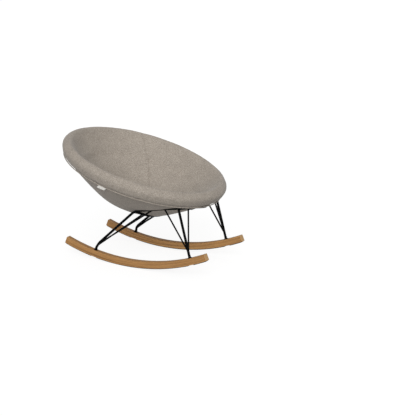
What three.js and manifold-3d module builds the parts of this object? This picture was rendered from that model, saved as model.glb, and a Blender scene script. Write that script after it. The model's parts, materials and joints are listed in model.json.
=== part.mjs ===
// A rocking chair: a round padded bowl seat on a frame of bent steel rod, with two oak rockers.
// Millimetres, +Z up. The front of the chair is towards -Y and the sitter's left is towards +X.
import * as THREE from "three";
import { mergeVertices } from "three/addons/utils/BufferGeometryUtils.js";
import Module from "manifold-3d";

const wasm = await Module();
wasm.setup();

// Rockers: curved runners. Everything is laid out in the chair's own frame, in which the middle
// of the running arc is straight above the origin. Angles on the arc grow towards the front.
const RUNNING_RADIUS = 1160;
const ROCKER_SPACING = 437;
const ROCKER_WIDTH = 34;
const ROCKER_HEIGHT = 36.5;
const ROCKER_EDGE = 2;
const REAR_END_ANGLE = -22;
const FRONT_END_ANGLE = 23.1;
const FACET_ANGLE = 1.5;
// How far back the empty chair rolls on its runners before it balances.
const REST_LEAN = 2.8;
const STRIP_WIDTH = 27;
const STRIP_THICKNESS = 2.6;
const STRIP_END_MARGIN = 0.35;
const STRIP_BREAK_ANGLE = 0.85;
const GAP = 0.3;

// Fasteners up through the rockers into the legs' foot sockets.
const FOOT_ANGLES = { front: 18, rear: -12.4 };
const BOLT_HOLE_RADIUS = 4.5;
const RECESS_RADIUS = 10;
const RECESS_DEPTH = 12;
const WASHER_RADIUS = 9;
const WASHER_THICKNESS = 1.6;
const BOLT_RADIUS = 3.8;
const BOLT_HEAD_RADIUS = 6.5;
const BOLT_HEAD_HEIGHT = 8;
const SOCKET_HEIGHT = 15;
const SOCKET_FLANGE_RADIUS = 11;
const SOCKET_FLANGE_HEIGHT = 3;
const SOCKET_NECK_RADIUS = 7.6;
const SOCKET_THREAD_RADIUS = 4.2;
const SOCKET_THREAD_DEPTH = 11.5;

// Steel rods.
const LEG_RADIUS = 7;
const THIN_RADIUS = 4.4;
const CORNER_BEND_RADIUS = { front: 12, rear: 20 };
const KNEE_BEND_RADIUS = 50;
const BEND_STEP = THREE.MathUtils.degToRad(11);
const LEG_SIDES = 14;
const THIN_SIDES = 10;

// Where the frame meets the bowl, given as places in plan for the sitter's left-hand side.
const FRONT_CORNER = { x: 214, y: -276 };
const REAR_CORNER = { x: 236, y: -24 };
const FRONT_SADDLE_MIDDLE_Y = -324;
const REAR_SADDLE_MIDDLE_Y = -72;
// How far each rod's middle line stands out of the bowl, at even steps. Where it is less than
// the rod's radius, the rod sinks into the padded cover.
const SADDLE_STANDOFF = {
  front: [7.5, 1, -3.2, -1, 7.2],
  rear: [-3.2, -3.2, -2.4, 4, 7.2],
};
const RAIL_STANDOFF = [7.2, -1, -3.6, -1, 7.2];
const CORNER_STUB = 42;
const WELD_GAP = 0.8;
const REAR_LEG_BEND = new THREE.Vector3(208, 228, 103);
const BRACE_HEIGHTS = { frontRail: 126, frontSaddle: 121, rearRail: 100, rearSaddle: 91 };
const BRACE_REACH = { frontRail: 0.69, rearRail: 0.4, frontSaddleX: 148, rearSaddleX: 186 };

// The bowl: a turned shape, drawn out a little from front to back, whose axis leans back.
const BOWL_TILT = 17.4;
const BOWL_MIDDLE = new THREE.Vector3(0, 47.7, 528.6);
const BOWL_STRETCH = 1.084;
const BOWL_SIDES = 52;
// The outside of the bowl from the axis to the seam: distance from the axis, height on it.
const WALL_PROFILE = [[0, -258], [105, -250], [190, -222], [270, -167], [345, -106], [411, -47]];
const COVER_THICKNESS = 12;
const SHELL_OUTER_DEPTH = 12.8;
const SHELL_INNER_DEPTH = 19.8;
const CUSHION_UNDER_DEPTH = 20.6;
const CUSHION_TOP_DEPTH = 46;
const ROLL_RADIUS = 30;
const ROLL_MIDDLE_RADIUS = 412;
const ROLL_SPAN = { from: -10, to: 132, steps: 7 };
// Where the lining runs up to the roll: distance from the axis, height on it.
const LINING_RISE = [[312, -64], [345, -34], [372, -3]];
const LINING_STEPS = 22;
const SEAM_GAP = 0.8;
const PIPING_RADIUS = 2.8;
const PIPING_PLACE = { r: 421.5, h: -49 };

// The blank fabric tag that stands out of the seam on the sitter's right.
const TAG = { length: 45, reach: 17, thickness: 1.2, angle: 180, droop: 20 };

// Tabs beside the saddle bars that join them to the bowl shell.
const TAB = { length: 40, width: 24, thickness: 3, barDistance: 18.6, corner: 5 };
const TAB_X = { front: 100, rear: 90 };
const SCREW = { radius: 3, headRadius: 5.2, headHeight: 3, hole: 3.6, top: 18.8 };
const INSERT = { radius: 5, hole: 3.4, shellHole: 5.4, bottom: 13.6, top: 19.3 };
const HEX_SIDES = 6;
const ROUND_SIDES = 18;

const STEEL = new THREE.MeshStandardMaterial({ color: 0x0b0b0c, roughness: 0.55, metalness: 0.6 });
const ZINC = new THREE.MeshStandardMaterial({ color: 0x9a9c9e, roughness: 0.4, metalness: 1 });
const OAK = new THREE.MeshStandardMaterial({ color: 0x8a6640, roughness: 0.6, metalness: 0 });
const STRIP = new THREE.MeshStandardMaterial({ color: 0x0a0a0a, roughness: 0.85, metalness: 0 });
const FELT = new THREE.MeshStandardMaterial({ color: 0x948b80, roughness: 0.95, metalness: 0 });
const MOULDED = new THREE.MeshStandardMaterial({ color: 0x2c2c2e, roughness: 0.7, metalness: 0 });
const RIBBON = new THREE.MeshStandardMaterial({ color: 0xe6e4df, roughness: 0.9, metalness: 0 });

const SIDES = { left: 1, right: -1 };
const Y_AXIS = new THREE.Vector3(0, 1, 0);

function mesh(name, geometry, material) {
  const made = new THREE.Mesh(geometry, material.clone());
  made.name = name;
  return made;
}

// ---- Solids: joining and cutting ----

function toSolid(geometry) {
  const bare = geometry.index ? geometry.toNonIndexed() : geometry.clone();
  bare.deleteAttribute("normal");
  bare.deleteAttribute("uv");
  const merged = mergeVertices(bare, 1e-3);
  return new wasm.Manifold(
    new wasm.Mesh({
      numProp: 3,
      vertProperties: merged.attributes.position.array,
      triVerts: new Uint32Array(merged.index.array),
    }),
  );
}

function toGeometry(solid) {
  const shape = solid.getMesh();
  const indexed = new THREE.BufferGeometry();
  indexed.setAttribute("position", new THREE.BufferAttribute(shape.vertProperties, 3));
  indexed.setIndex(new THREE.BufferAttribute(shape.triVerts, 1));
  const flat = indexed.toNonIndexed();
  flat.computeVertexNormals();
  return flat;
}

function cut(geometry, ...tools) {
  let solid = toSolid(geometry);
  for (const tool of tools) solid = solid.subtract(toSolid(tool));
  return toGeometry(solid);
}

// ---- Turned, extruded and bent shapes ----

// A solid turned about +Y from an outline of [radius, height] points.
function turned(outline, sides = ROUND_SIDES) {
  return new THREE.LatheGeometry(outline.map(([r, h]) => new THREE.Vector2(r, h)), sides);
}

// A path through given points that puts one ring of a tube at each of them.
class RodPath extends THREE.Curve {
  constructor(points) {
    super();
    this.points = points;
  }

  getPoint(t) {
    const place = t * (this.points.length - 1);
    const before = Math.min(Math.floor(place), this.points.length - 2);
    return this.points[before].clone().lerp(this.points[before + 1], place - before);
  }

  getPointAt(u) {
    return this.getPoint(u);
  }

  getSpacedPoints() {
    return this.points.map((point) => point.clone());
  }

  getTangentAt(u) {
    const last = this.points.length - 1;
    const here = Math.round(u * last);
    const direction = new THREE.Vector3();
    if (here > 0) direction.add(stepBetween(this.points[here - 1], this.points[here]));
    if (here < last) direction.add(stepBetween(this.points[here], this.points[here + 1]));
    return direction.normalize();
  }
}

function stepBetween(from, to) {
  return to.clone().sub(from).normalize();
}

// A round rod along a list of points.
function rod(points, radius, sides) {
  const section = new THREE.Shape();
  section.absarc(0, 0, radius, 0, 2 * Math.PI);
  const ring = new THREE.Shape(section.getSpacedPoints(sides).slice(0, sides));
  return new THREE.ExtrudeGeometry(ring, {
    steps: points.length - 1,
    extrudePath: new RodPath(points),
  });
}

// The points of a path whose inner corners are rounded, each to its own bend radius.
function bent(corners, radii) {
  const points = [corners[0]];
  for (let i = 1; i < corners.length - 1; i += 1) {
    const radius = radii[i - 1];
    const inward = stepBetween(corners[i - 1], corners[i]);
    const outward = stepBetween(corners[i], corners[i + 1]);
    const angle = inward.angleTo(outward);
    const tangent = radius * Math.tan(angle / 2);
    const start = corners[i].clone().addScaledVector(inward, -tangent);
    const axis = inward.clone().cross(outward).normalize();
    const middle = axis.clone().cross(inward).multiplyScalar(radius).add(start);
    const steps = Math.max(2, Math.round(angle / BEND_STEP));
    for (let k = 0; k <= steps; k += 1) {
      const arm = start.clone().sub(middle).applyAxisAngle(axis, (angle * k) / steps);
      points.push(middle.clone().add(arm));
    }
  }
  points.push(corners[corners.length - 1]);
  return points;
}

// ---- Rockers ----

const DEGREE = Math.PI / 180;
const STRIP_INNER_RADIUS = RUNNING_RADIUS - STRIP_THICKNESS;
const WOOD_OUTER_RADIUS = STRIP_INNER_RADIUS - GAP;
const WOOD_INNER_RADIUS = WOOD_OUTER_RADIUS - ROCKER_HEIGHT;

function arcPoint(radius, angle) {
  const y = -radius * Math.sin(angle * DEGREE);
  const z = RUNNING_RADIUS - radius * Math.cos(angle * DEGREE);
  return [y, z];
}

// Angles along an arc. One facet is centred on the point of rest, so the lowest face is level.
function facetAngles(from, to) {
  const margin = FACET_ANGLE / 4;
  const skipped = Math.ceil((from + margin + REST_LEAN) / FACET_ANGLE - 0.5);
  const first = (skipped + 0.5) * FACET_ANGLE - REST_LEAN;
  const angles = [from];
  for (let angle = first; angle < to - margin; angle += FACET_ANGLE) angles.push(angle);
  angles.push(to);
  return angles;
}

// A curved bar between two radii and two angles, centred on x = 0.
function arcBar(innerRadius, outerRadius, from, to, width, edge) {
  const angles = facetAngles(from, to);
  const outer = angles.map((angle) => arcPoint(outerRadius, angle));
  const inner = angles.map((angle) => arcPoint(innerRadius, angle)).reverse();
  const outline = new THREE.Shape([...outer, ...inner].map(([y, z]) => new THREE.Vector2(y, z)));
  const geometry = new THREE.ExtrudeGeometry(outline, {
    depth: width - 2 * edge,
    bevelEnabled: edge > 0,
    bevelThickness: edge,
    bevelSize: edge,
    bevelOffset: -edge,
    bevelSegments: 1,
  });
  geometry.translate(0, 0, edge - width / 2);
  const across = new THREE.Matrix4().makeBasis(
    new THREE.Vector3(0, 1, 0),
    new THREE.Vector3(0, 0, 1),
    new THREE.Vector3(1, 0, 0),
  );
  return geometry.applyMatrix4(across);
}

// A frame on the running surface at an angle: its own +Y points at the middle of the arc.
function footFrame(angle, x) {
  const frame = new THREE.Group();
  const [y, z] = arcPoint(RUNNING_RADIUS, angle);
  frame.position.set(x, y, z);
  frame.rotation.x = Math.PI / 2 - angle * DEGREE;
  frame.updateMatrixWorld(true);
  return frame;
}

// Heights in a foot frame, above the running surface.
const WOOD_BOTTOM = RUNNING_RADIUS - WOOD_OUTER_RADIUS;
const WOOD_TOP = RUNNING_RADIUS - WOOD_INNER_RADIUS;
const RECESS_FLOOR = WOOD_BOTTOM + RECESS_DEPTH;
const WASHER_BOTTOM = RECESS_FLOOR - GAP - WASHER_THICKNESS;
const HEAD_TOP = WASHER_BOTTOM - GAP;
const SOCKET_BOTTOM = WOOD_TOP + GAP;
const SOCKET_TOP = SOCKET_BOTTOM + SOCKET_HEIGHT;
const BOLT_TOP = SOCKET_BOTTOM + SOCKET_THREAD_DEPTH - 1.5;

function inFoot(geometry, angle) {
  return geometry.applyMatrix4(footFrame(angle, 0).matrixWorld);
}

function upright(bottom, top, radius, sides = ROUND_SIDES) {
  return turned([[0, bottom], [radius, bottom], [radius, top], [0, top]], sides);
}

function rockerGeometry() {
  const blank = arcBar(
    WOOD_INNER_RADIUS, WOOD_OUTER_RADIUS, REAR_END_ANGLE, FRONT_END_ANGLE, ROCKER_WIDTH, ROCKER_EDGE,
  );
  const holes = Object.values(FOOT_ANGLES).flatMap((angle) => [
    inFoot(upright(0, WOOD_TOP + RECESS_DEPTH, BOLT_HOLE_RADIUS), angle),
    inFoot(upright(0, RECESS_FLOOR, RECESS_RADIUS), angle),
  ]);
  return cut(blank, ...holes);
}

function stripGeometry(from, to) {
  return arcBar(STRIP_INNER_RADIUS, RUNNING_RADIUS, from, to, STRIP_WIDTH, 0);
}

function addRocker(chair, side) {
  const rocker = new THREE.Group();
  rocker.position.x = (SIDES[side] * ROCKER_SPACING) / 2;
  rocker.add(mesh(`rocker_${side}`, rockerGeometry(), OAK));
  const spans = {
    rear: [REAR_END_ANGLE + STRIP_END_MARGIN, FOOT_ANGLES.rear - STRIP_BREAK_ANGLE],
    middle: [FOOT_ANGLES.rear + STRIP_BREAK_ANGLE, FOOT_ANGLES.front - STRIP_BREAK_ANGLE],
    front: [FOOT_ANGLES.front + STRIP_BREAK_ANGLE, FRONT_END_ANGLE - STRIP_END_MARGIN],
  };
  for (const [place, [from, to]] of Object.entries(spans)) {
    rocker.add(mesh(`strip_${place}_${side}`, stripGeometry(from, to), STRIP));
  }
  chair.add(rocker);
}

// ---- Feet: the bolt, washer and threaded socket at each leg ----

function washerGeometry() {
  const top = WASHER_BOTTOM + WASHER_THICKNESS;
  const ring = upright(WASHER_BOTTOM, top, WASHER_RADIUS);
  return cut(ring, upright(WASHER_BOTTOM - 1, top + 1, BOLT_HOLE_RADIUS));
}

function boltGeometry() {
  const headBottom = HEAD_TOP - BOLT_HEAD_HEIGHT;
  const blank = turned([
    [0, headBottom], [BOLT_HEAD_RADIUS - 0.6, headBottom], [BOLT_HEAD_RADIUS, headBottom + 0.6],
    [BOLT_HEAD_RADIUS, HEAD_TOP], [BOLT_RADIUS, HEAD_TOP], [BOLT_RADIUS, BOLT_TOP], [0, BOLT_TOP],
  ]);
  const keyRadius = BOLT_HEAD_RADIUS * 0.52;
  const keyDepth = BOLT_HEAD_HEIGHT * 0.55;
  return cut(blank, upright(headBottom - 1, headBottom + keyDepth, keyRadius, HEX_SIDES));
}

function socketGeometry() {
  const threadTop = SOCKET_BOTTOM + SOCKET_THREAD_DEPTH;
  const flangeTop = SOCKET_BOTTOM + SOCKET_FLANGE_HEIGHT;
  return turned([
    [0, threadTop], [SOCKET_THREAD_RADIUS, threadTop], [SOCKET_THREAD_RADIUS, SOCKET_BOTTOM],
    [SOCKET_FLANGE_RADIUS, SOCKET_BOTTOM], [SOCKET_FLANGE_RADIUS, flangeTop - 1],
    [SOCKET_FLANGE_RADIUS - 1, flangeTop], [SOCKET_NECK_RADIUS, flangeTop],
    [SOCKET_NECK_RADIUS, SOCKET_TOP - 1], [SOCKET_NECK_RADIUS - 1, SOCKET_TOP], [0, SOCKET_TOP],
  ]);
}

function addFoot(chair, end, side) {
  const foot = footFrame(FOOT_ANGLES[end], (SIDES[side] * ROCKER_SPACING) / 2);
  foot.add(mesh(`rocker_washer_${end}_${side}`, washerGeometry(), ZINC));
  foot.add(mesh(`rocker_bolt_${end}_${side}`, boltGeometry(), ZINC));
  foot.add(mesh(`foot_socket_${end}_${side}`, socketGeometry(), STEEL));
  chair.add(foot);
}

// The point on a foot's axis where the leg starts, for the left side.
function legStart(end) {
  const foot = footFrame(FOOT_ANGLES[end], ROCKER_SPACING / 2);
  return foot.localToWorld(new THREE.Vector3(0, SOCKET_TOP - GAP, 0));
}

// The room that a socket takes up, which a leg's lower end is cut to.
function socketRoom(end, side) {
  const room = upright(SOCKET_BOTTOM, SOCKET_TOP + GAP, SOCKET_FLANGE_RADIUS);
  const foot = footFrame(FOOT_ANGLES[end], (SIDES[side] * ROCKER_SPACING) / 2);
  return room.applyMatrix4(foot.matrixWorld);
}

// ---- The bowl's shape, used by its own layers and by the frame under it ----

const TILT = BOWL_TILT * DEGREE;
const WALL = new THREE.SplineCurve(WALL_PROFILE.map(([r, h]) => new THREE.Vector2(r, h)));
const WALL_STEPS = 12;
const WALL_POINTS = WALL.getPoints(WALL_STEPS);
const WALL_FINE = WALL.getPoints(400);

// Points beside an outline, a distance towards its left-hand side.
function beside(points, distance) {
  return points.map((point, i) => {
    const before = points[Math.max(i - 1, 0)];
    const after = points[Math.min(i + 1, points.length - 1)];
    const along = after.clone().sub(before).normalize();
    const moved = new THREE.Vector2(point.x - along.y * distance, point.y + along.x * distance);
    moved.x = i === 0 ? 0 : moved.x;
    return moved;
  });
}

// The height of the bowl's outside on its own axis, at a distance from that axis.
function wallHeight(r) {
  const i = Math.max(1, WALL_FINE.findIndex((point) => point.x >= r));
  const [before, after] = [WALL_FINE[i - 1], WALL_FINE[i]];
  return THREE.MathUtils.mapLinear(r, before.x, after.x, before.y, after.y);
}

// How far a point of the chair stands below the bowl's outside, along the bowl's axis.
function depthBelowBowl(point) {
  const own = point.clone().sub(BOWL_MIDDLE).applyAxisAngle(new THREE.Vector3(1, 0, 0), -TILT);
  return wallHeight(Math.hypot(own.x, own.y / BOWL_STRETCH)) - own.z;
}

// The point on the bowl's outside straight above a place in plan, and the way out of the bowl.
function underBowl(x, y) {
  let [low, high] = [BOWL_MIDDLE.z - 420, BOWL_MIDDLE.z - 20];
  while (high - low > 0.001) {
    const middle = (low + high) / 2;
    if (depthBelowBowl(new THREE.Vector3(x, y, middle)) > 0) low = middle;
    else high = middle;
  }
  const surface = new THREE.Vector3(x, y, low);
  const slope = (dx, dy) => depthBelowBowl(surface.clone().add(new THREE.Vector3(dx, dy, 0)));
  const rise = depthBelowBowl(surface.clone().add(new THREE.Vector3(0, 0, -1)));
  const outward = new THREE.Vector3(
    slope(1, 0) - slope(-1, 0), slope(0, 1) - slope(0, -1), -2 * rise,
  ).normalize();
  return { surface, outward };
}

function hugging(x, y, clearance) {
  const { surface, outward } = underBowl(x, y);
  return surface.clone().addScaledVector(outward, clearance);
}

// ---- The steel frame ----

const CORNERS = {
  front: { ...FRONT_CORNER, middleY: FRONT_SADDLE_MIDDLE_Y },
  rear: { ...REAR_CORNER, middleY: REAR_SADDLE_MIDDLE_Y },
};

// The value at a share of the way along a smooth line through evenly spaced values.
function valueAlong(values, share) {
  const line = new THREE.SplineCurve(values.map((value) => new THREE.Vector2(0, value)));
  return line.getPoint(share).y;
}

// A point on a saddle bar's middle line, by its distance from the middle of the chair in plan.
function saddlePoint(end, x) {
  const corner = CORNERS[end];
  const share = Math.abs(x) / corner.x;
  const y = corner.middleY + (corner.y - corner.middleY) * share ** 2;
  return hugging(x, y, valueAlong(SADDLE_STANDOFF[end], share));
}

function cornerPoint(end) {
  return saddlePoint(end, CORNERS[end].x);
}

// Middle lines for the left side.
function legPoints(end) {
  const stub = saddlePoint(end, CORNERS[end].x - CORNER_STUB);
  const knee = end === "rear" ? [REAR_LEG_BEND] : [];
  const radii = [...knee.map(() => KNEE_BEND_RADIUS), CORNER_BEND_RADIUS[end]];
  return bent([legStart(end), ...knee, cornerPoint(end), stub], radii);
}

function saddlePoints(end) {
  const half = CORNERS[end].x - CORNER_STUB - WELD_GAP;
  const steps = 16;
  return Array.from({ length: steps + 1 }, (_, i) => saddlePoint(end, half - (2 * half * i) / steps));
}

// A side rail is straighter than the bowl, sinks into its cover and meets both corners' rods.
function railPoint(t) {
  const x = THREE.MathUtils.lerp(CORNERS.rear.x, CORNERS.front.x, t);
  const y = THREE.MathUtils.lerp(CORNERS.rear.y, CORNERS.front.y, t);
  return hugging(x, y, valueAlong(RAIL_STANDOFF, t));
}

function railPoints() {
  const steps = 12;
  return Array.from({ length: steps + 1 }, (_, i) => railPoint(i / steps));
}

// The point at a height on a leg's middle line.
function onLeg(end, height) {
  const points = legPoints(end);
  const i = points.findIndex((point) => point.z >= height);
  const [below, above] = [points[i - 1], points[i]];
  return below.clone().lerp(above, (height - below.z) / (above.z - below.z));
}

function bracePoints() {
  return {
    front_rail: [onLeg("front", BRACE_HEIGHTS.frontRail), railPoint(BRACE_REACH.frontRail)],
    front_saddle: [onLeg("front", BRACE_HEIGHTS.frontSaddle), saddlePoint("front", BRACE_REACH.frontSaddleX)],
    rear_rail: [onLeg("rear", BRACE_HEIGHTS.rearRail), railPoint(BRACE_REACH.rearRail)],
    rear_saddle: [onLeg("rear", BRACE_HEIGHTS.rearSaddle), saddlePoint("rear", BRACE_REACH.rearSaddleX)],
  };
}

function onSide(points, side) {
  return points.map((point) => new THREE.Vector3(point.x * SIDES[side], point.y, point.z));
}

function addLegs(chair, side) {
  for (const end of Object.keys(FOOT_ANGLES)) {
    const leg = rod(onSide(legPoints(end), side), LEG_RADIUS, LEG_SIDES);
    chair.add(mesh(`leg_${end}_${side}`, cut(leg, socketRoom(end, side)), STEEL));
  }
}

// The room that one side's legs and both saddle bars take up, with a gap around them.
function thickRodRooms(side) {
  const legs = Object.keys(FOOT_ANGLES).map((end) => onSide(legPoints(end), side));
  const saddles = Object.keys(FOOT_ANGLES).map((end) => saddlePoints(end));
  return [...legs, ...saddles].map((points) => rod(points, LEG_RADIUS + GAP, LEG_SIDES));
}

// The room that one side's rail and braces take up.
function thinRodRooms(side) {
  const lines = [railPoints(), ...Object.values(bracePoints())];
  return lines.map((line) => rod(onSide(line, side), THIN_RADIUS + GAP, THIN_SIDES));
}

// The thin rods of one side, each cut to the rods that it is welded to.
function addThinRods(chair, side) {
  const thickRoom = thickRodRooms(side);
  const rail = onSide(railPoints(), side);
  chair.add(mesh(`side_rail_${side}`, cut(rod(rail, THIN_RADIUS, THIN_SIDES), ...thickRoom), STEEL));
  const thinRoom = [rod(rail, THIN_RADIUS + GAP, THIN_SIDES)];
  for (const [place, ends] of Object.entries(bracePoints())) {
    const line = onSide(ends, side);
    const brace = cut(rod(line, THIN_RADIUS, THIN_SIDES), ...thickRoom, ...thinRoom);
    chair.add(mesh(`brace_${place}_${side}`, brace, STEEL));
    thinRoom.push(rod(line, THIN_RADIUS + GAP, THIN_SIDES));
  }
}

function addSaddleBars(chair) {
  for (const end of ["front", "rear"]) {
    const geometry = rod(saddlePoints(end), LEG_RADIUS, LEG_SIDES);
    chair.add(mesh(`saddle_bar_${end}`, geometry, STEEL));
  }
}

// ---- Tabs, screws and inserts between the saddle bars and the shell ----

// A frame on the bowl's outside beside a saddle bar: +Y points out of the bowl and X runs along
// the bar.
function tabFrame(end, side) {
  const x = SIDES[side] * TAB_X[end];
  const bar = saddlePoint(end, x);
  const barWay = saddlePoint(end, x + 1).sub(saddlePoint(end, x - 1)).normalize();
  const sideways = barWay.clone().cross(underBowl(bar.x, bar.y).outward).normalize();
  const start = bar.clone().addScaledVector(sideways, TAB.barDistance);
  const { surface, outward } = underBowl(start.x, start.y);
  const across = barWay.clone().cross(outward).normalize();
  const along = outward.clone().cross(across);
  const frame = new THREE.Group();
  const basis = new THREE.Matrix4().makeBasis(along, outward, across);
  frame.quaternion.setFromRotationMatrix(basis);
  frame.position.copy(surface);
  frame.updateMatrixWorld(true);
  return frame;
}

function tabGeometry() {
  const [halfLength, halfWidth] = [TAB.length / 2, TAB.width / 2];
  const outline = new THREE.Shape();
  const corners = [[1, -1], [1, 1], [-1, 1], [-1, -1]];
  corners.forEach(([a, b], i) => {
    const middleX = a * (halfLength - TAB.corner);
    const middleY = b * (halfWidth - TAB.corner);
    const start = (i - 1) * (Math.PI / 2);
    outline.absarc(middleX, middleY, TAB.corner, start, start + Math.PI / 2);
  });
  const plate = new THREE.ExtrudeGeometry(outline, {
    depth: TAB.thickness, bevelEnabled: false, curveSegments: 4,
  });
  plate.rotateX(-Math.PI / 2);
  plate.translate(0, GAP, 0);
  return cut(plate, upright(-1, TAB.thickness + 2, SCREW.hole));
}

function screwGeometry() {
  const headStart = TAB.thickness + 2 * GAP;
  const headEnd = headStart + SCREW.headHeight;
  const blank = turned([
    [0, -SCREW.top], [SCREW.radius, -SCREW.top], [SCREW.radius, headStart],
    [SCREW.headRadius, headStart], [SCREW.headRadius, headStart + 1],
    [SCREW.headRadius * 0.7, headEnd], [0, headEnd],
  ]);
  const keyRadius = SCREW.headRadius * 0.42;
  const key = upright(headEnd - 1.8, headEnd + 1, keyRadius, HEX_SIDES);
  return cut(blank, key);
}

function insertGeometry() {
  return turned([
    [INSERT.hole, -INSERT.top], [INSERT.radius, -INSERT.top], [INSERT.radius, -INSERT.bottom],
    [INSERT.hole, -INSERT.bottom], [INSERT.hole, -INSERT.top],
  ]);
}

function shellHoleTools(radius) {
  return tabPlaces().map(([end, side]) => {
    const tool = upright(-CUSHION_UNDER_DEPTH - 4, 4, radius);
    return tool.applyMatrix4(tabFrame(end, side).matrixWorld);
  });
}

function tabPlaces() {
  return ["front", "rear"].flatMap((end) => Object.keys(SIDES).map((side) => [end, side]));
}

function addTabs(chair) {
  for (const [end, side] of tabPlaces()) {
    const frame = tabFrame(end, side);
    frame.add(mesh(`mount_tab_${end}_${side}`, tabGeometry(), STEEL));
    frame.add(mesh(`tab_screw_${end}_${side}`, screwGeometry(), ZINC));
    frame.add(mesh(`shell_insert_${end}_${side}`, insertGeometry(), ZINC));
    chair.add(frame);
  }
}

// ---- The bowl's layers ----

// A layer turned about the bowl's axis from an outline, set in the chair.
function bowlLayer(outline, sides = BOWL_SIDES) {
  const geometry = new THREE.LatheGeometry(outline, sides);
  geometry.rotateX(Math.PI / 2);
  geometry.scale(1, BOWL_STRETCH, 1);
  geometry.rotateX(TILT);
  return geometry.translate(BOWL_MIDDLE.x, BOWL_MIDDLE.y, BOWL_MIDDLE.z);
}

function layerOutline(outerDepth, innerDepth) {
  return [...beside(WALL_POINTS, outerDepth), ...beside(WALL_POINTS, innerDepth).reverse()];
}

// The padded cover, with a groove wherever a rod presses into it.
function outerCoverGeometry() {
  const rods = Object.keys(SIDES).flatMap((side) => [...thickRodRooms(side), ...thinRodRooms(side)]);
  const blank = bowlLayer(layerOutline(0, COVER_THICKNESS));
  return cut(blank, ...shellHoleTools(SCREW.hole), ...rods);
}

function shellGeometry() {
  const outline = layerOutline(SHELL_OUTER_DEPTH, SHELL_INNER_DEPTH);
  return cut(bowlLayer(outline), ...shellHoleTools(INSERT.shellHole));
}

// A point just beyond the bowl's edge, at a depth under its outside.
function beyondEdge(depth) {
  const layer = beside(WALL_POINTS, depth);
  const onward = WALL_POINTS[WALL_STEPS].clone().sub(WALL_POINTS[WALL_STEPS - 1]).normalize();
  return layer[WALL_STEPS].addScaledVector(onward, SEAM_GAP);
}

function rollPoint(degrees, radius = ROLL_RADIUS) {
  const angle = degrees * DEGREE;
  const r = ROLL_MIDDLE_RADIUS + radius * Math.cos(angle);
  return new THREE.Vector2(r, radius * Math.sin(angle));
}

// The cushion lines the bowl and rolls over its rim.
function cushionOutline() {
  const under = beside(WALL_POINTS, CUSHION_UNDER_DEPTH);
  const lip = [beyondEdge(CUSHION_UNDER_DEPTH), beyondEdge(0)];
  const rollLower = [new THREE.Vector2(418.5, -46.6), rollPoint(-62, 37), rollPoint(-38, 31)];
  const rollStep = (ROLL_SPAN.to - ROLL_SPAN.from) / ROLL_SPAN.steps;
  const rollOuter = Array.from({ length: ROLL_SPAN.steps + 1 }, (_, i) => (
    rollPoint(ROLL_SPAN.from + i * rollStep)
  ));
  const liningPoints = beside(WALL_POINTS, CUSHION_TOP_DEPTH)
    .filter((point) => point.x < LINING_RISE[0][0] - 20);
  const rise = LINING_RISE.map(([r, h]) => new THREE.Vector2(r, h));
  const lining = new THREE.SplineCurve([
    ...liningPoints, ...rise, rollOuter[ROLL_SPAN.steps],
  ]).getPoints(LINING_STEPS);
  return [...under, ...lip, ...rollLower, ...rollOuter, ...lining.reverse().slice(1)];
}

function pipingOutline() {
  const sides = 6;
  return Array.from({ length: sides + 1 }, (_, i) => {
    const turn = (2 * Math.PI * (i % sides)) / sides;
    const r = PIPING_PLACE.r + PIPING_RADIUS * Math.cos(turn);
    return new THREE.Vector2(r, PIPING_PLACE.h + PIPING_RADIUS * Math.sin(turn));
  });
}

// The tag stands out of the seam beyond the piping.
function tagGeometry() {
  const droop = TAG.droop * DEGREE;
  const outward = new THREE.Vector2(Math.cos(droop), -Math.sin(droop));
  const upward = new THREE.Vector2(Math.sin(droop), Math.cos(droop));
  const middle = new THREE.Vector2(PIPING_PLACE.r, PIPING_PLACE.h);
  middle.addScaledVector(outward, PIPING_RADIUS + GAP + TAG.reach / 2);
  const angle = TAG.angle * DEGREE;
  const radial = new THREE.Vector3(Math.cos(angle), Math.sin(angle), 0);
  const around = new THREE.Vector3(-Math.sin(angle), Math.cos(angle), 0);
  const inBowl = ({ x, y }) => radial.clone().multiplyScalar(x).add(new THREE.Vector3(0, 0, y));
  const box = new THREE.BoxGeometry(TAG.reach, TAG.length, TAG.thickness);
  box.applyMatrix4(new THREE.Matrix4().makeBasis(inBowl(outward), around, inBowl(upward)));
  const place = inBowl(middle);
  box.translate(place.x, place.y * BOWL_STRETCH, place.z);
  box.rotateX(TILT);
  return box.translate(BOWL_MIDDLE.x, BOWL_MIDDLE.y, BOWL_MIDDLE.z);
}

function addBowl(chair) {
  chair.add(mesh("bowl_shell", shellGeometry(), MOULDED));
  chair.add(mesh("seat_cushion", bowlLayer(cushionOutline()), FELT));
  chair.add(mesh("outer_cover", outerCoverGeometry(), FELT));
  chair.add(mesh("rim_piping", bowlLayer(pipingOutline()), FELT));
  chair.add(mesh("side_tag", tagGeometry(), RIBBON));
}

// ---- The whole chair, at rest on its base with the middle of its box over the origin ----

function buildParts() {
  const chair = new THREE.Group();
  for (const side of Object.keys(SIDES)) {
    addRocker(chair, side);
    for (const end of Object.keys(FOOT_ANGLES)) addFoot(chair, end, side);
    addLegs(chair, side);
    addThinRods(chair, side);
  }
  addSaddleBars(chair);
  addTabs(chair);
  addBowl(chair);
  return chair;
}

// Rolls the chair back about the middle of its running arc.
function atRest(parts) {
  const lean = REST_LEAN * DEGREE;
  parts.rotation.x = -lean;
  parts.position.set(0, -RUNNING_RADIUS * Math.sin(lean), RUNNING_RADIUS * (1 - Math.cos(lean)));
  return new THREE.Group().add(parts);
}

function centred(chair) {
  chair.updateMatrixWorld(true);
  const box = new THREE.Box3().setFromObject(chair, true);
  chair.position.set(0, -(box.min.y + box.max.y) / 2, -box.min.z);
  return chair;
}

export default centred(atRest(buildParts()));
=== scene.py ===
import json
import math

import bmesh
import bpy
import numpy as np
from mathutils import Matrix, Vector, noise
from mathutils.bvhtree import BVHTree


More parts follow.
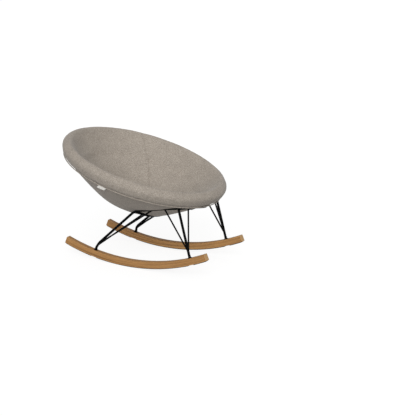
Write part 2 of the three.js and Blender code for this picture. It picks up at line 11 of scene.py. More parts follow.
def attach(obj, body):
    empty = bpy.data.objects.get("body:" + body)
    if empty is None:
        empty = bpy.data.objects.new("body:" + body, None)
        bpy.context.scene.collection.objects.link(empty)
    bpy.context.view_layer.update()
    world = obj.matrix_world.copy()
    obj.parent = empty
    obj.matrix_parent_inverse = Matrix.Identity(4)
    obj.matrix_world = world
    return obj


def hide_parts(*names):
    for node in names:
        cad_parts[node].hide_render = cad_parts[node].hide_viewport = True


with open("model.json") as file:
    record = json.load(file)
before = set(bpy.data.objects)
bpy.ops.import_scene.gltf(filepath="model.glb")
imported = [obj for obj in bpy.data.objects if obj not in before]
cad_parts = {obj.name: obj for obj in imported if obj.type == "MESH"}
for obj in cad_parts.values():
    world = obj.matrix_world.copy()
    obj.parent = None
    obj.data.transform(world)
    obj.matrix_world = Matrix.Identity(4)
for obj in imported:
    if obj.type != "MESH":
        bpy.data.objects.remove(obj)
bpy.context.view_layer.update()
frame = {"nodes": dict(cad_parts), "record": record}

# A rocking chair: padded bowl seat, black rod frame, oak runners. Lengths are in metres unless
# a name ends in _MM. The chair's own frame has the middle of the running arc above its origin.

RUNNING_RADIUS = 1.160
REST_LEAN = math.radians(2.8)
BOWL_TILT = math.radians(17.4)
BOWL_MIDDLE_MM = (0, 47.7, 528.6)
BOWL_STRETCH = 1.084
WALL_MM = [(0, -258), (105, -250), (190, -222), (270, -167), (345, -106), (411, -47)]
COVER_MM = 11.8
CUSHION_UNDER_MM = 21
CUSHION_TOP_MM = 46
LINING_RISE_MM = [(312, -64), (345, -34), (372, -3)]
ROLL_MIDDLE_MM = 412
ROLL_MM = 30
ROLL_SPAN_DEGREES = (-10, 132)
ROLL_SWELL_MM = [(419, -46.4), (429.5, -33.5), (437.5, -19.5), (441.5, -5.2)]
PIPING_MM = (421.5, -49)
PIPING_RADIUS_MM = 2.8
SEAM_OFFSET_MM = 200

CONTACT = Vector(frame["record"]["mounts"][0]["pos_m"])
ARC_MIDDLE = Vector((0, CONTACT.y, RUNNING_RADIUS))
LEANING = Matrix.Rotation(-REST_LEAN, 4, "X")


def placed(x, y, z):
    """A point of the chair's own frame, given in millimetres, in the row frame."""
    return LEANING @ Vector((x / 1000, y / 1000, z / 1000 - RUNNING_RADIUS)) + ARC_MIDDLE


def bowl_matrix():
    """From the bowl's frame (across, towards the back, up its axis) to the row frame."""
    tilt = BOWL_TILT - REST_LEAN
    across = Vector((1, 0, 0))
    back = Vector((0, math.cos(tilt), math.sin(tilt)))
    axis = Vector((0, -math.sin(tilt), math.cos(tilt)))
    turn = Matrix((across, back, axis)).transposed().to_4x4()
    return Matrix.Translation(placed(*BOWL_MIDDLE_MM)) @ turn


BOWL = bowl_matrix()
BOWL_TURN = np.array(BOWL.to_3x3())
BOWL_PLACE = np.array(BOWL.translation)


def from_bowl(points_mm):
    """Bowl-frame points in millimetres to the row frame."""
    return np.asarray(points_mm, float) / 1000 @ BOWL_TURN.T + BOWL_PLACE


def to_bowl(points):
    return (np.asarray(points, float) - BOWL_PLACE) @ BOWL_TURN * 1000


# ---- Outlines in the bowl's section: distance from the axis, height along it, in mm ----


def spline(points, count):
    """A smooth curve through the points, as count + 1 points."""
    p = np.asarray(points, float)
    out = []
    for t in np.linspace(0, len(p) - 1, count + 1):
        i = min(int(t), len(p) - 2)
        f = t - i
        a, b, c, d = p[max(i - 1, 0)], p[i], p[i + 1], p[min(i + 2, len(p) - 1)]
        m, n = (c - a) / 2, (d - b) / 2
        cubic = (2 * b - 2 * c + m + n) * f**3 + (-3 * b + 3 * c - 2 * m - n) * f**2
        out.append(cubic + m * f + b)
    return np.array(out)


def beside(points, distance):
    """The outline moved towards its left-hand side."""
    along = np.gradient(points, axis=0)
    along /= np.linalg.norm(along, axis=1)[:, None]
    moved = points + np.stack([-along[:, 1], along[:, 0]], 1) * distance
    moved[0, 0] = 0
    return moved


WALL = spline(WALL_MM, 60)


def arc_points(middle, radius, start, end, count):
    turns = np.radians(np.linspace(start, end, count))
    return np.stack([middle + radius * np.cos(turns), radius * np.sin(turns)], 1)


def cushion_outline():
    """The padding's outline from the axis, along its underside, round the roll and back in."""
    under = beside(WALL, CUSHION_UNDER_MM)
    onward = (WALL[-1] - WALL[-2]) / np.linalg.norm(WALL[-1] - WALL[-2])
    lip = np.array([under[-1], WALL[-1]]) + onward
    outer = spline(ROLL_SWELL_MM, 8)[:-1]
    roll = arc_points(ROLL_MIDDLE_MM, ROLL_MM, *ROLL_SPAN_DEGREES, 19)
    lining = beside(WALL, CUSHION_TOP_MM)
    lining = lining[lining[:, 0] < LINING_RISE_MM[0][0] - 20][::4]
    inner = spline([*lining, *LINING_RISE_MM, roll[-1]], 76)[::-1]
    return np.concatenate([under, lip, outer, roll, inner[1:]])


COVER_RINGS = 150


def cover_outline():
    outer = spline(WALL_MM, COVER_RINGS)
    return np.concatenate([outer, beside(outer, COVER_MM)[::-5]])


# ---- Meshes ----


def new_object(name, points, faces):
    mesh = bpy.data.meshes.new(name)
    mesh.from_pydata([tuple(p) for p in points], [], faces)
    mesh.update()
    made = bpy.data.objects.new(name, mesh)
    bpy.context.scene.collection.objects.link(made)
    return made


def smooth(obj):
    obj.data.polygons.foreach_set("use_smooth", [True] * len(obj.data.polygons))
    obj.data.update()


def turned(name, outline, sides):
    """A closed form turned about the bowl's axis from an outline that starts and ends on it."""
    turns = np.linspace(0, 2 * math.pi, sides, endpoint=False)
    rings = outline[1:-1]
    x = rings[:, 0, None] * np.cos(turns)
    y = rings[:, 0, None] * np.sin(turns) * BOWL_STRETCH
    z = np.repeat(rings[:, 1, None], sides, 1)
    points = np.stack([x, y, z], -1).reshape(-1, 3)
    points = np.concatenate([points, [[0, 0, outline[0, 1]], [0, 0, outline[-1, 1]]]])
    start, end = len(points) - 2, len(points) - 1
    last = (len(rings) - 1) * sides
    faces = []
    for k in range(sides):
        after = (k + 1) % sides
        faces.append((start, after, k))
        faces.append((end, last + k, last + after))
        for i in range(len(rings) - 1):
            low, high = i * sides, (i + 1) * sides
            faces.append((low + k, low + after, high + after, high + k))
    return new_object(name, from_bowl(points), faces)


def tube(name, line, radii, sides, closed=True):
    """A round tube along a line of points, with its ends shut if the line is open."""
    line = np.asarray(line, float)
    count = len(line)
    if closed:
        along = np.roll(line, -1, 0) - np.roll(line, 1, 0)
    else:
        along = np.gradient(line, axis=0)
    along /= np.linalg.norm(along, axis=1)[:, None]
    side = np.cross(along[0], [0, 0, 1.0])
    if np.linalg.norm(side) < 0.1:
        side = np.cross(along[0], [1.0, 0, 0])
    points = []
    for p, a, r in zip(line, along, np.broadcast_to(radii, count)):
        side = side - a * (side @ a)
        side /= np.linalg.norm(side)
        up = np.cross(a, side)
        for k in range(sides):
            turn = 2 * math.pi * k / sides
            points.append(p + r * (math.cos(turn) * side + math.sin(turn) * up))
    faces = []
    for i in range(count if closed else count - 1):
        j = (i + 1) % count
        for k in range(sides):
            m = (k + 1) % sides
            faces.append((i * sides + k, i * sides + m, j * sides + m, j * sides + k))
    if not closed:
        faces.append(tuple(range(sides))[::-1])
        faces.append(tuple((count - 1) * sides + k for k in range(sides)))
    made = new_object(name, points, faces)
    smooth(made)
    return made


def coordinates(obj):
    flat = np.zeros(len(obj.data.vertices) * 3, np.float32)
    obj.data.vertices.foreach_get("co", flat)
    return flat.reshape(-1, 3).astype(float)


def set_coordinates(obj, points):
    obj.data.vertices.foreach_set("co", np.asarray(points, np.float32).ravel())
    obj.data.update()


def normals(obj):
    flat = np.zeros(len(obj.data.vertices) * 3, np.float32)
    obj.data.vertices.foreach_get("normal", flat)
    return flat.reshape(-1, 3).astype(float)


def baked_modifiers(obj):
    """The object's mesh as its modifiers make it, with the modifiers gone."""
    evaluated = obj.evaluated_get(bpy.context.evaluated_depsgraph_get())
    shaped = bpy.data.meshes.new_from_object(evaluated)
    obj.modifiers.clear()
    old = obj.data
    obj.data = shaped
    bpy.data.meshes.remove(old)


def wall_distance(section):
    """How far section points (distance from the axis, height) lie from the bowl's outside."""
    a, b = WALL[:-1], WALL[1:]
    edge = b - a
    best = np.full(len(section), 1e9)
    for start, step in zip(a, edge):
        f = np.clip(((section - start) @ step) / (step @ step), 0, 1)
        gap = np.linalg.norm(section - start - f[:, None] * step, axis=1)
        best = np.minimum(best, gap)
    return best


def sections(points):
    own = to_bowl(points)
    return own, np.stack([np.hypot(own[:, 0], own[:, 1] / BOWL_STRETCH), own[:, 2]], 1)


# ---- The padded seat ----

HELD_TO_MM = 25
FREE_OVER_MM = 12
CLOTH_FRAMES = 20
CLOTH_PRESSURE = 4


def swell(obj, voxel, slack, cap):
    """Fills a padded piece out with cloth pressure. Its underside is held by the shell."""
    remesh = obj.modifiers.new("voxels", "REMESH")
    remesh.mode = "VOXEL"
    remesh.voxel_size = voxel
    baked_modifiers(obj)
    full = coordinates(obj)
    _, section = sections(full)
    free = np.clip((wall_distance(section) - HELD_TO_MM) / FREE_OVER_MM, 0, 1)
    set_coordinates(obj, full - normals(obj) * (slack * free)[:, None])
    start = coordinates(obj)
    held = obj.vertex_groups.new(name="held")
    for chosen, weight in ((free <= 0, 1.0), ((free > 0) & (free < 0.6), 0.5)):
        held.add([int(i) for i in np.flatnonzero(chosen)], weight, "REPLACE")
    cloth = obj.modifiers.new("cloth", "CLOTH")
    cloth.settings.quality = 4
    cloth.settings.mass = 0.35
    cloth.settings.tension_stiffness = 18
    cloth.settings.compression_stiffness = 18
    cloth.settings.shear_stiffness = 6
    cloth.settings.bending_stiffness = 1.2
    cloth.settings.use_pressure = True
    cloth.settings.uniform_pressure_force = CLOTH_PRESSURE
    cloth.settings.vertex_group_mass = held.name
    cloth.settings.effector_weights.gravity = 0
    cloth.point_cache.frame_start = 1
    cloth.point_cache.frame_end = CLOTH_FRAMES
    scene = bpy.context.scene
    for step in range(1, CLOTH_FRAMES + 1):
        scene.frame_set(step)
    baked_modifiers(obj)
    scene.frame_set(1)
    moved = coordinates(obj) - start
    reach = np.linalg.norm(moved, axis=1)
    moved *= np.minimum(1, cap / np.maximum(reach, 1e-9))[:, None]
    set_coordinates(obj, start + moved)
    obj.vertex_groups.clear()


def subdivided(obj, levels):
    modifier = obj.modifiers.new("finer", "SUBSURF")
    modifier.levels = levels
    modifier.render_levels = levels
    baked_modifiers(obj)


def uneven(points, size, seed):
    """Smooth noise between -1 and 1 at each point, with features of a given size in metres."""
    shift = Vector((seed * 7.31, seed * 3.17, seed * 1.93))
    return np.array([noise.noise(Vector(p) / size + shift) for p in points])


def seam_lines(obj, offsets):
    """Adds edge loops along the seam that parts the back panel from the seat panel."""
    work = bmesh.new()
    work.from_mesh(obj.data)
    middle = from_bowl([[0, SEAM_OFFSET_MM, 0]])[0]
    across = BOWL_TURN @ (np.array([0, 1, -1]) / math.sqrt(2))
    for offset in offsets:
        everything = work.verts[:] + work.edges[:] + work.faces[:]
        place = Vector(middle + across * offset / 1000)
        bmesh.ops.bisect_plane(work, geom=everything, plane_co=place, plane_no=Vector(across))
    work.to_mesh(obj.data)
    work.free()


def seam_distance(own):
    return (own[:, 1] - own[:, 2] - SEAM_OFFSET_MM) / math.sqrt(2)


def sew_seam(obj, depth_mm, width_mm):
    """Draws the padding in along the seam, with small gathers on both sides of it."""
    points = coordinates(obj)
    own, section = sections(points)
    away = seam_distance(own)
    shown = np.clip((wall_distance(section) - 25) / 8, 0, 1)
    shown *= np.clip((ROLL_MIDDLE_MM + 14 - section[:, 0]) / 26, 0, 1)
    near = np.exp(-np.abs(away) / width_mm)
    wide = np.exp(-((away / (5 * width_mm)) ** 2))
    along = own[:, 0] + 0.35 * own[:, 2]
    gathers = 0.5 + 0.5 * np.sin(along / 2.1 + 1.7 * np.sin(along / 13))
    depth = depth_mm * near * (0.82 + 0.18 * gathers) + 0.9 * wide
    depth += 0.35 * np.exp(-((np.abs(away) - 3.5) / 3) ** 2) * gathers
    set_coordinates(obj, points - normals(obj) * (depth * shown / 1000)[:, None])


def settle_roll(obj):
    """Gentle unevenness in the padding, and gathers where the roll is sewn to the cover."""
    points = coordinates(obj)
    own, section = sections(points)
    shown = np.clip((wall_distance(section) - 25) / 10, 0, 1)
    shown = np.maximum(shown, (section[:, 0] > 420) & (section[:, 1] > -43))
    turn = np.arctan2(own[:, 1] / BOWL_STRETCH, own[:, 0])
    crease = np.hypot(section[:, 0] - 416, section[:, 1] + 45)
    gathers = np.sin(turn * 118 + 2.2 * np.sin(turn * 17)) * np.sin(turn * 31 + 1.1)
    push = 1.1 * uneven(points, 0.11, 1) + 0.35 * uneven(points, 0.035, 2)
    push += 0.55 * gathers * np.exp(-crease / 13)
    set_coordinates(obj, points + normals(obj) * (push * shown / 1000)[:, None])


def make_cushion():
    cushion = turned("padded_seat", cushion_outline(), 220)
    swell(cushion, voxel=0.006, slack=0.0025, cap=0.005)
    subdivided(cushion, 1)
    settle_roll(cushion)
    seam_lines(cushion, (-9, -5.5, -3, -1.5, -0.6, 0, 0.6, 1.5, 3, 5.5, 9))
    sew_seam(cushion, depth_mm=4.6, width_mm=2.4)
    smooth(cushion)
    return cushion


# ---- The outer cover, piping and tag ----


def rod_surface():
    """The steel rods' surfaces, as one searchable mesh."""
    points, faces = [], []
    for name, node in frame["nodes"].items():
        if not name.startswith(("leg_", "saddle_bar_", "side_rail_", "brace_")):
            continue
        start = len(points)
        points += [node.matrix_world @ vertex.co for vertex in node.data.vertices]
        faces += [tuple(start + k for k in face.vertices) for face in node.data.polygons]
    return BVHTree.FromPolygons(points, faces)


def rod_depths(points, outward):
    """How deep below each point of the cover's outside a rod reaches, or 0."""
    rods = rod_surface()
    probe = COVER_MM / 1000 + 0.002
    depths = np.zeros(len(points))
    for i, (point, out) in enumerate(zip(points, outward)):
        start = Vector(point) - Vector(out) * probe
        hit = rods.ray_cast(start, Vector(out), probe + 0.001)[0]
        if hit is not None:
            depths[i] = max(probe - (hit - start).length, 0)
    return depths


def spread(grid, passes):
    """A grid of rings by turns, smoothed over its neighbours."""
    for _ in range(passes):
        rings = np.concatenate([grid[:1], grid, grid[-1:]])
        grid = (rings[:-2] + rings[2:] + np.roll(grid, 1, 1) + np.roll(grid, -1, 1) + 2 * grid) / 6
    return grid


COVER_SIDES = 440
GROOVE_GAP = 0.0006
GROOVE_EDGE = 0.0008
SWELL_SHARE = 0.8
SWELL_PASSES = 18


def make_cover():
    """The padded cover. The rods press soft grooves into it, and it swells beside them."""
    cover = turned("outer_cover_fabric", cover_outline(), COVER_SIDES)
    points = coordinates(cover)
    outward = normals(cover)
    outside = COVER_RINGS * COVER_SIDES
    depth = rod_depths(points[:outside], outward[:outside]).reshape(COVER_RINGS, COVER_SIDES)
    pressed = np.where(depth > 0, depth + GROOVE_GAP, 0)
    groove = pressed
    for _ in range(3):
        groove = np.maximum(pressed, spread(groove, 1))
    swollen = spread(pressed, SWELL_PASSES) * np.exp(-groove / GROOVE_EDGE)
    own, section = sections(points[:outside])
    turn = np.arctan2(own[:, 1] / BOWL_STRETCH, own[:, 0])
    crease = np.hypot(section[:, 0] - 412, section[:, 1] + 46)
    gathers = np.sin(turn * 96 + 1.9 * np.sin(turn * 13)) * np.sin(turn * 27 + 0.4)
    push = 0.0003 * gathers * np.exp(-crease / 18)
    push -= 0.0005 * np.clip(-uneven(points[:outside], 0.14, 4), 0, 1)
    push += (SWELL_SHARE * swollen - groove).ravel()
    points[:outside] += outward[:outside] * push[:, None]
    set_coordinates(cover, points)
    smooth(cover)
    return cover


PIPING_STEPS = 480


def make_piping():
    turns = np.linspace(0, 2 * math.pi, PIPING_STEPS, endpoint=False)
    r, h = PIPING_MM
    ring = np.stack([r * np.cos(turns), r * np.sin(turns) * BOWL_STRETCH, np.full(PIPING_STEPS, h)], 1)
    radii = PIPING_RADIUS_MM / 1000 * (1 + 0.035 * np.sin(turns * 150) * np.sin(turns * 11))
    return tube("rim_piping_fabric", from_bowl(ring), radii, 12)


TAG_LENGTH_MM = 45
TAG_REACH_MM = 17
TAG_PLY_MM = 0.4
TAG_TURN = math.radians(180)
TAG_DROOP = math.radians(20)


def tag_section():
    """A ribbon folded in two, seen from its side: how far out of the seam, how far up."""
    bend = TAG_PLY_MM * 1.5
    fold_at = TAG_REACH_MM - bend
    reaches = np.linspace(0, fold_at, 6)[:-1]
    turns = np.linspace(math.pi / 2, -math.pi / 2, 7)
    fold = [(fold_at + bend * math.cos(a), bend * math.sin(a)) for a in turns]
    slit = [(fold_at + bend / 3 * math.cos(a), bend / 3 * math.sin(a)) for a in turns[::-1]]
    above = [(s, bend) for s in reaches]
    below = [(s, -bend) for s in reaches[::-1]]
    lower = [(s, -bend / 3) for s in reaches]
    upper = [(s, bend / 3) for s in reaches[::-1]]
    return above + fold + below + lower + slit + upper


def make_tag():
    """The blank tag stands out of the seam, just beyond the piping."""
    out = np.array([math.cos(TAG_DROOP), -math.sin(TAG_DROOP)])
    up = np.array([math.sin(TAG_DROOP), math.cos(TAG_DROOP)])
    root = np.array(PIPING_MM) + out * (PIPING_RADIUS_MM + 0.4)
    section = tag_section()
    steps = 28
    points = []
    for i in range(steps + 1):
        f = i / steps
        turn = TAG_TURN + (f - 0.5) * TAG_LENGTH_MM / PIPING_MM[0] / BOWL_STRETCH
        droop = 1.1 + 0.5 * math.sin(5.2 * f + 0.6)
        for reach, height in section:
            sag = droop * (reach / TAG_REACH_MM) ** 2
            r, h = root + out * reach + up * (height - sag)
            points.append((r * math.cos(turn), r * math.sin(turn) * BOWL_STRETCH, h))
    count = len(section)
    faces = [tuple(range(count)), tuple(steps * count + k for k in range(count))[::-1]]
    for i in range(steps):
        for k in range(count):
            m = (k + 1) % count
            low, high = i * count, (i + 1) * count
            faces.append((low + m, low + k, high + k, high + m))
    tag = new_object("side_tag_ribbon", from_bowl(points), faces)
    work = bmesh.new()
    work.from_mesh(tag.data)
    bmesh.ops.triangulate(work, faces=[f for f in work.faces if len(f.verts) > 4])
    bmesh.ops.recalc_face_normals(work, faces=work.faces)
    work.to_mesh(tag.data)
    work.free()
    return tag


# ---- Materials ----


def shader(name):
    made = bpy.data.materials.new(name)
    made.use_nodes = True
    return made, made.node_tree, made.node_tree.nodes["Principled BSDF"]


def add(tree, kind, **settings):
    made = tree.nodes.new(kind)
    for key, value in settings.items():
        if key in made.inputs:
            made.inputs[key].default_value = value
        else:
            setattr(made, key, value)
    return made


def linear(red, green, blue):
    """A colour from its usual 0 to 255 values."""
    def one(value):
        value /= 255
        return value / 12.92 if value <= 0.04045 else ((value + 0.055) / 1.055) ** 2.4
    return (one(red), one(green), one(blue), 1)


def stretched(tree, source, scale):
    mapping = add(tree, "ShaderNodeMapping", Scale=scale)
    tree.links.new(source, mapping.inputs["Vector"])
    return mapping.outputs["Vector"]


def noise_of(tree, source, scale, detail=3, roughness=0.55):
    made = add(tree, "ShaderNodeTexNoise", Scale=scale, Detail=detail, Roughness=roughness)
    tree.links.new(source, made.inputs["Vector"])
    return made.outputs["Fac"]


def ramp(tree, source, stops):
    made = tree.nodes.new("ShaderNodeValToRGB")
    while len(made.color_ramp.elements) < len(stops):
        made.color_ramp.elements.new(0.5)
    for element, (position, colour) in zip(made.color_ramp.elements, stops):
        element.position = position
        element.color = colour
    tree.links.new(source, made.inputs["Fac"])
    return made.outputs["Color"]


def mixed(tree, factor, a, b, blend="MIX"):
    made = tree.nodes.new("ShaderNodeMix")
    made.data_type = "RGBA"
    made.blend_type = blend
    for socket, value in ((0, factor), (6, a), (7, b)):
        if hasattr(value, "is_output"):
            tree.links.new(value, made.inputs[socket])
        else:
            made.inputs[socket].default_value = value
    return made.outputs[2]


def maths(tree, operation, a, b=0.0):
    made = tree.nodes.new("ShaderNodeMath")
    made.operation = operation
    for socket, value in ((0, a), (1, b)):
        if hasattr(value, "is_output"):
            tree.links.new(value, made.inputs[socket])
        else:
            made.inputs[socket].default_value = value
    return made.outputs[0]


def grey(value):
    return (value, value, value, 1)


def bump(tree, bsdf, height, distance, strength=1.0):
    made = add(tree, "ShaderNodeBump", Distance=distance, Strength=strength)
    tree.links.new(height, made.inputs["Height"])
    tree.links.new(made.outputs["Normal"], bsdf.inputs["Normal"])


def felt_material(name, dark, middle, light, bump_mm=0.45):
    """Heathered wool felt: fine fibres of three tones, soft blotches and a fuzzy sheen."""
    made, tree, bsdf = shader(name)
    place = tree.nodes.new("ShaderNodeTexCoord").outputs["Object"]
    fibres = [
        noise_of(tree, stretched(tree, place, scale), 1.0, 4, 0.62)
        for scale in ((240, 1100, 1100), (1100, 240, 1100), (1100, 1100, 240))
    ]
    tangle = maths(tree, "MAXIMUM", maths(tree, "MAXIMUM", fibres[0], fibres[1]), fibres[2])
    fine = maths(tree, "ADD", maths(tree, "MULTIPLY", tangle, 0.62),
                 maths(tree, "MULTIPLY", fibres[1], 0.38))
    yarn = ramp(tree, fine, [(0.40, dark), (0.55, middle), (0.70, light)])
    heather = ramp(tree, noise_of(tree, place, 300, 2, 0.6), [(0.36, grey(0.58)), (0.60, grey(1.0))])
    blotch = ramp(tree, noise_of(tree, place, 75, 4, 0.6), [(0.3, grey(0.9)), (0.7, grey(1.0))])
    cloud = ramp(tree, noise_of(tree, place, 14, 3), [(0.3, grey(0.9)), (0.7, grey(1.0))])
    colour = yarn
    for shade in (heather, blotch, cloud):
        colour = mixed(tree, 1.0, colour, shade, "MULTIPLY")
    tree.links.new(colour, bsdf.inputs["Base Color"])
    bsdf.inputs["Roughness"].default_value = 0.95
    bsdf.inputs["Specular IOR Level"].default_value = 0.2
    bsdf.inputs["Sheen Weight"].default_value = 0.18
    bsdf.inputs["Sheen Roughness"].default_value = 0.45
    bump(tree, bsdf, fine, bump_mm / 1000, 0.7)
    return made


def oak_material():
    """Oiled oak whose grain follows the runner's curve."""
    made, tree, bsdf = shader("oiled_oak")
    place = tree.nodes.new("ShaderNodeTexCoord").outputs["Object"]
    split = tree.nodes.new("ShaderNodeSeparateXYZ")
    tree.links.new(place, split.inputs[0])
    y = maths(tree, "SUBTRACT", split.outputs[1], ARC_MIDDLE.y)
    z = maths(tree, "SUBTRACT", ARC_MIDDLE.z, split.outputs[2])
    squares = maths(tree, "ADD", maths(tree, "MULTIPLY", y, y), maths(tree, "MULTIPLY", z, z))
    radius = maths(tree, "SQRT", squares)
    along = maths(tree, "MULTIPLY", maths(tree, "ARCTAN2", y, z), RUNNING_RADIUS)
    grain = tree.nodes.new("ShaderNodeCombineXYZ")
    tree.links.new(along, grain.inputs[0])
    tree.links.new(split.outputs[0], grain.inputs[1])
    tree.links.new(radius, grain.inputs[2])
    wood = grain.outputs[0]
    rings = noise_of(tree, stretched(tree, wood, (2.4, 95, 130)), 1.0, 5, 0.6)
    streaks = noise_of(tree, stretched(tree, wood, (14, 700, 700)), 1.0, 3, 0.6)
    pores = noise_of(tree, stretched(tree, wood, (55, 1500, 1500)), 1.0, 2, 0.5)
    base = ramp(tree, rings, [(0.25, linear(132, 92, 50)), (0.5, linear(178, 130, 76)),
                              (0.75, linear(206, 158, 100))])
    fine = ramp(tree, streaks, [(0.35, grey(0.78)), (0.6, grey(1.0))])
    dots = ramp(tree, pores, [(0.30, grey(0.55)), (0.40, grey(1.0))])
    colour = mixed(tree, 1.0, mixed(tree, 1.0, base, fine, "MULTIPLY"), dots, "MULTIPLY")
    facing = tree.nodes.new("ShaderNodeSeparateXYZ")
    tree.links.new(tree.nodes.new("ShaderNodeNewGeometry").outputs["Normal"], facing.inputs[0])
    back = maths(tree, "MULTIPLY", facing.outputs[1], z)
    rise = maths(tree, "MULTIPLY", facing.outputs[2], y)
    endways = maths(tree, "DIVIDE", maths(tree, "ABSOLUTE", maths(tree, "ADD", back, rise)), radius)
    end_grain = ramp(tree, endways, [(0.5, grey(0.0)), (0.9, grey(1.0))])
    colour = mixed(tree, end_grain, colour, linear(190, 152, 104))
    tree.links.new(colour, bsdf.inputs["Base Color"])
    rough = ramp(tree, streaks, [(0.3, grey(0.58)), (0.7, grey(0.44))])
    tree.links.new(rough, bsdf.inputs["Roughness"])
    bump(tree, bsdf, maths(tree, "ADD", maths(tree, "MULTIPLY", pores, 0.7), streaks), 0.0002, 0.5)
    return made


def coated_steel():
    """Black powder coat: a fine orange-peel texture."""
    made, tree, bsdf = shader("black_powder_coat")
    place = tree.nodes.new("ShaderNodeTexCoord").outputs["Object"]
    peel = noise_of(tree, place, 900, 2, 0.5)
    patch = noise_of(tree, place, 30, 3, 0.5)
    tone = ramp(tree, patch, [(0.3, linear(5, 5, 6)), (0.7, linear(10, 10, 11))])
    tree.links.new(tone, bsdf.inputs["Base Color"])
    tree.links.new(ramp(tree, patch, [(0.3, grey(0.42)), (0.7, grey(0.52))]), bsdf.inputs["Roughness"])
    bsdf.inputs["Specular IOR Level"].default_value = 0.06
    bump(tree, bsdf, peel, 0.00012, 0.6)
    return made


def zinc_steel():
    made, tree, bsdf = shader("zinc_plated_steel")
    place = tree.nodes.new("ShaderNodeTexCoord").outputs["Object"]
    patch = noise_of(tree, place, 260, 4, 0.6)
    tone = ramp(tree, patch, [(0.3, linear(150, 152, 154)), (0.7, linear(186, 188, 190))])
    tree.links.new(tone, bsdf.inputs["Base Color"])
    tree.links.new(ramp(tree, patch, [(0.3, grey(0.42)), (0.7, grey(0.28))]), bsdf.inputs["Roughness"])
    bsdf.inputs["Metallic"].default_value = 1.0
    bump(tree, bsdf, patch, 0.00005, 0.5)
    return made


def strip_rubber():
    made, tree, bsdf = shader("anti_slip_rubber")
    place = tree.nodes.new("ShaderNodeTexCoord").outputs["Object"]
    grit = noise_of(tree, place, 1400, 3, 0.6)
    dust = noise_of(tree, place, 60, 4, 0.6)
    tone = ramp(tree, dust, [(0.35, linear(22, 22, 22)), (0.75, linear(38, 37, 36))])
    tree.links.new(tone, bsdf.inputs["Base Color"])
    bsdf.inputs["Roughness"].default_value = 0.88
    bump(tree, bsdf, grit, 0.0003, 0.8)
    return made


def moulded_shell():
    made, tree, bsdf = shader("moulded_shell_plastic")
    place = tree.nodes.new("ShaderNodeTexCoord").outputs["Object"]
    grain = noise_of(tree, place, 500, 3, 0.6)
    tone = ramp(tree, grain, [(0.3, linear(38, 38, 40)), (0.7, linear(50, 50, 52))])
    tree.links.new(tone, bsdf.inputs["Base Color"])
    bsdf.inputs["Roughness"].default_value = 0.7
    bump(tree, bsdf, grain, 0.0002, 0.5)
    return made


def ribbon_material():
    """A pale woven ribbon with fine cross ribs, and painted shade in the hollows between them."""
    made, tree, bsdf = shader("tag_ribbon_weave")
    place = tree.nodes.new("ShaderNodeTexCoord").outputs["Object"]
    ribs = add(tree, "ShaderNodeTexWave", Scale=420.0, Distortion=0.6, Detail=1.0)
    ribs.bands_direction = "Y"
    tree.links.new(place, ribs.inputs["Vector"])
    speck = noise_of(tree, place, 1200, 2)
    tone = ramp(tree, speck, [(0.3, linear(214, 212, 206)), (0.7, linear(240, 239, 235))])
    # Painted shade: the ribbon's colour darkens in the hollows between the ribs, where the bump is
    # lowest.
    shade = ramp(tree, ribs.outputs["Fac"], [(0.0, grey(0.88)), (1.0, grey(1.0))])
    tree.links.new(mixed(tree, 1.0, tone, shade, "MULTIPLY"), bsdf.inputs["Base Color"])
    bsdf.inputs["Roughness"].default_value = 0.8
    bsdf.inputs["Sheen Weight"].default_value = 0.1
    bump(tree, bsdf, ribs.outputs["Fac"], 0.0002, 0.6)
    return made


def paint(obj, material):
    obj.data.materials.clear()
    obj.data.materials.append(material)


def repaint(node, material):
    """Puts a better material in a CAD node's own slots."""
    for place in node.material_slots:
        place.material = material


# ---- Stage ----


FLOOR_HALF = 60


def add_floor():
    half = FLOOR_HALF
    corners = [(-half, -half, 0), (half, -half, 0), (half, half, 0), (-half, half, 0)]
    floor = new_object("studio_floor", corners, [(0, 1, 2, 3)])
    made, tree, bsdf = shader("pale_floor")
    bsdf.inputs["Base Color"].default_value = (0.2, 0.2, 0.2, 1)
    bsdf.inputs["Roughness"].default_value = 0.9
    bsdf.inputs["Specular IOR Level"].default_value = 0.1
    bsdf.inputs["Emission Color"].default_value = (1, 1, 1, 1)
    bsdf.inputs["Emission Strength"].default_value = 0.86
    floor.visible_diffuse = False
    floor.visible_glossy = False
    paint(floor, made)


def add_sun(name, way, energy, softness):
    data = bpy.data.lights.new(name, "SUN")
    data.energy = energy
    data.angle = math.radians(softness)
    lamp = bpy.data.objects.new(name, data)
    lamp.rotation_euler = Vector(way).to_track_quat("-Z", "Y").to_euler()
    bpy.context.scene.collection.objects.link(lamp)


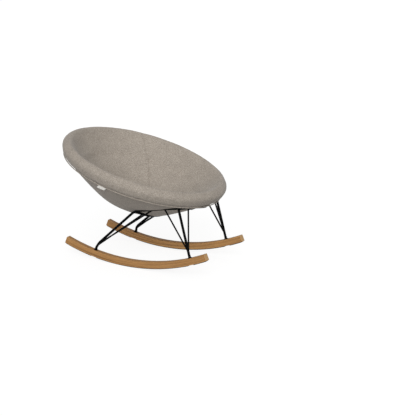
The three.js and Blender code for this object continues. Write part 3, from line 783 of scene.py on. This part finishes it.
def add_lights():
    """A soft light from the sitter's right, a weaker one overhead and even light all round."""
    world = bpy.data.worlds.new("studio")
    world.use_nodes = True
    background = world.node_tree.nodes["Background"]
    background.inputs["Color"].default_value = (1, 1, 1, 1)
    background.inputs["Strength"].default_value = 0.4
    bpy.context.scene.world = world
    add_sun("key", (0.85, 0.35, -0.5), 2.0, 40)
    add_sun("overhead", (0.1, 0.2, -1), 0.35, 80)


CAMERA_PLACE_MM = (-5820.4, -3306.3, 1905.3)
CAMERA_AZIMUTH = math.radians(-63.02)
CAMERA_ELEVATION = math.radians(13.64)
LENS_MM = 107.2


def add_camera():
    """The camera stood level with the chair rolled a little forward, so here it leans too."""
    a, e = CAMERA_AZIMUTH, CAMERA_ELEVATION
    right = Vector((math.cos(a), math.sin(a), 0))
    back = Vector((math.sin(a) * math.cos(e), -math.cos(a) * math.cos(e), math.sin(e)))
    up = back.cross(right)
    turn = Matrix((right, up, back)).transposed().to_4x4()
    data = bpy.data.cameras.new("camera")
    data.lens = LENS_MM
    data.sensor_width = 36
    data.clip_end = 200
    camera = bpy.data.objects.new("camera", data)
    camera.matrix_world = Matrix.Translation(placed(*CAMERA_PLACE_MM)) @ LEANING @ turn
    bpy.context.scene.collection.objects.link(camera)
    bpy.context.scene.camera = camera


# ---- The chair ----

GREIGE = (linear(134, 124, 113), linear(184, 174, 162), linear(226, 216, 205))

add_camera()
add_lights()
add_floor()

felt = felt_material("greige_felt", *GREIGE)
piping_felt = felt_material("piping_felt", *GREIGE, bump_mm=0.3)

cushion = make_cushion()
cover = make_cover()
piping = make_piping()
tag = make_tag()
for piece, material, node, slot in (
    (cushion, felt, "seat_cushion", "felt"),
    (cover, felt, "outer_cover", "felt"),
    (piping, piping_felt, "rim_piping", "felt"),
    (tag, ribbon_material(), "side_tag", "tag_ribbon"),
):
    paint(piece, material)
    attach(piece, "root")
    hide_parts(node)

SLOT_MATERIALS = {
    "oak": oak_material(),
    "black_steel": coated_steel(),
    "zinc_steel": zinc_steel(),
    "strip_rubber": strip_rubber(),
    "shell_plastic": moulded_shell(),
}
for part in frame["record"]["subparts"]:
    if part["material_slot"] in SLOT_MATERIALS:
        repaint(frame["nodes"][part["node"]], SLOT_MATERIALS[part["material_slot"]])

bpy.context.scene.view_settings.view_transform = "Standard"
